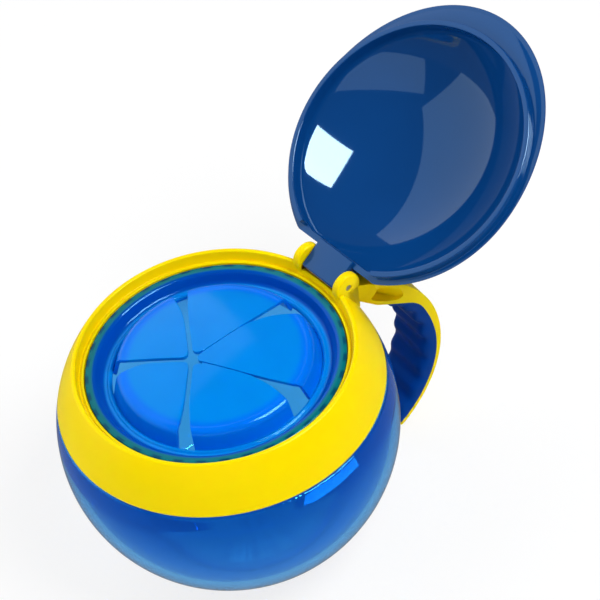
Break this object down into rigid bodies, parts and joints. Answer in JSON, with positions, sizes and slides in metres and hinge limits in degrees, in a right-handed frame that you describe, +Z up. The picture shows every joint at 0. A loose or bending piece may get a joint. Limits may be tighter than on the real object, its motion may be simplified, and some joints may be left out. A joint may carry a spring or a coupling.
{
  "type": "toddler snack cup",
  "caption": "Ball shaped toddler snack cup: clear bowl, screw collar with a bent grip handle, soft slit flaps over the mouth and a hinged lid standing open.",
  "frame": {"origin": "centre of the flat base, on the surface that the cup stands on", "axes": "+Z up along the cup's own axis, +Y towards the hinge and the handle, lid standing open over +Y"},
  "size_m": [0.0954, 0.1603, 0.1132],
  "materials": {
    "clear_blue": "polished, see-through",
    "yellow": "semi gloss",
    "soft_navy": "satin",
    "pin_steel": "bright",
    "navy": "gloss",
    "soft_blue": "translucent gloss"
  },
  "bodies": {
    "bowl": {"bowl": "clear_blue"},
    "insert": {"flap_ring": "soft_blue"},
    "collar": {"collar": "yellow", "handle_grip": "soft_navy", "hinge_pin": "pin_steel"},
    "lid": {"lid": "navy"},
    "flap_1": {"flap_1": "soft_blue"},
    "flap_2": {"flap_2": "soft_blue"},
    "flap_3": {"flap_3": "soft_blue"},
    "flap_4": {"flap_4": "soft_blue"},
    "flap_5": {"flap_5": "soft_blue"}
  },
  "joints": [
    {"name": "collar_rise", "type": "slide", "parent": "bowl", "child": "insert", "axis": [0, 0, 1], "range_m": [0, 0.006]},
    {"name": "collar_twist", "type": "hinge", "parent": "insert", "child": "collar", "pos_m": [0, 0, 0], "axis": [0, 0, 1], "range_deg": [0, 270]},
    {"name": "lid_hinge", "type": "hinge", "parent": "collar", "child": "lid", "pos_m": [0, 0.0404, 0.068], "axis": [1, 0, 0], "range_deg": [0, 148]},
    {"name": "flap_1_push", "type": "hinge", "parent": "insert", "child": "flap_1", "pos_m": [-0.01681, 0.02314, 0.0602], "axis": [0.809, 0.5878, 0], "range_deg": [0, 55], "stiffness_Nm_per_rad": 0.03},
    {"name": "flap_2_push", "type": "hinge", "parent": "insert", "child": "flap_2", "pos_m": [-0.0272, -0.00884, 0.0602], "axis": [-0.309, 0.9511, 0], "range_deg": [0, 55], "stiffness_Nm_per_rad": 0.03},
    {"name": "flap_3_push", "type": "hinge", "parent": "insert", "child": "flap_3", "pos_m": [0, -0.0286, 0.0602], "axis": [-1, 0, 0], "range_deg": [0, 55], "stiffness_Nm_per_rad": 0.03},
    {"name": "flap_4_push", "type": "hinge", "parent": "insert", "child": "flap_4", "pos_m": [0.0272, -0.00884, 0.0602], "axis": [-0.309, -0.9511, 0], "range_deg": [0, 55], "stiffness_Nm_per_rad": 0.03},
    {"name": "flap_5_push", "type": "hinge", "parent": "insert", "child": "flap_5", "pos_m": [0.01681, 0.02314, 0.0602], "axis": [0.809, -0.5878, 0], "range_deg": [0, 55], "stiffness_Nm_per_rad": 0.03}
  ],
  "couplings": [
    {"joint": "collar_rise", "follows": "collar_twist", "m_per_rad": 0.0012732}
  ]
}
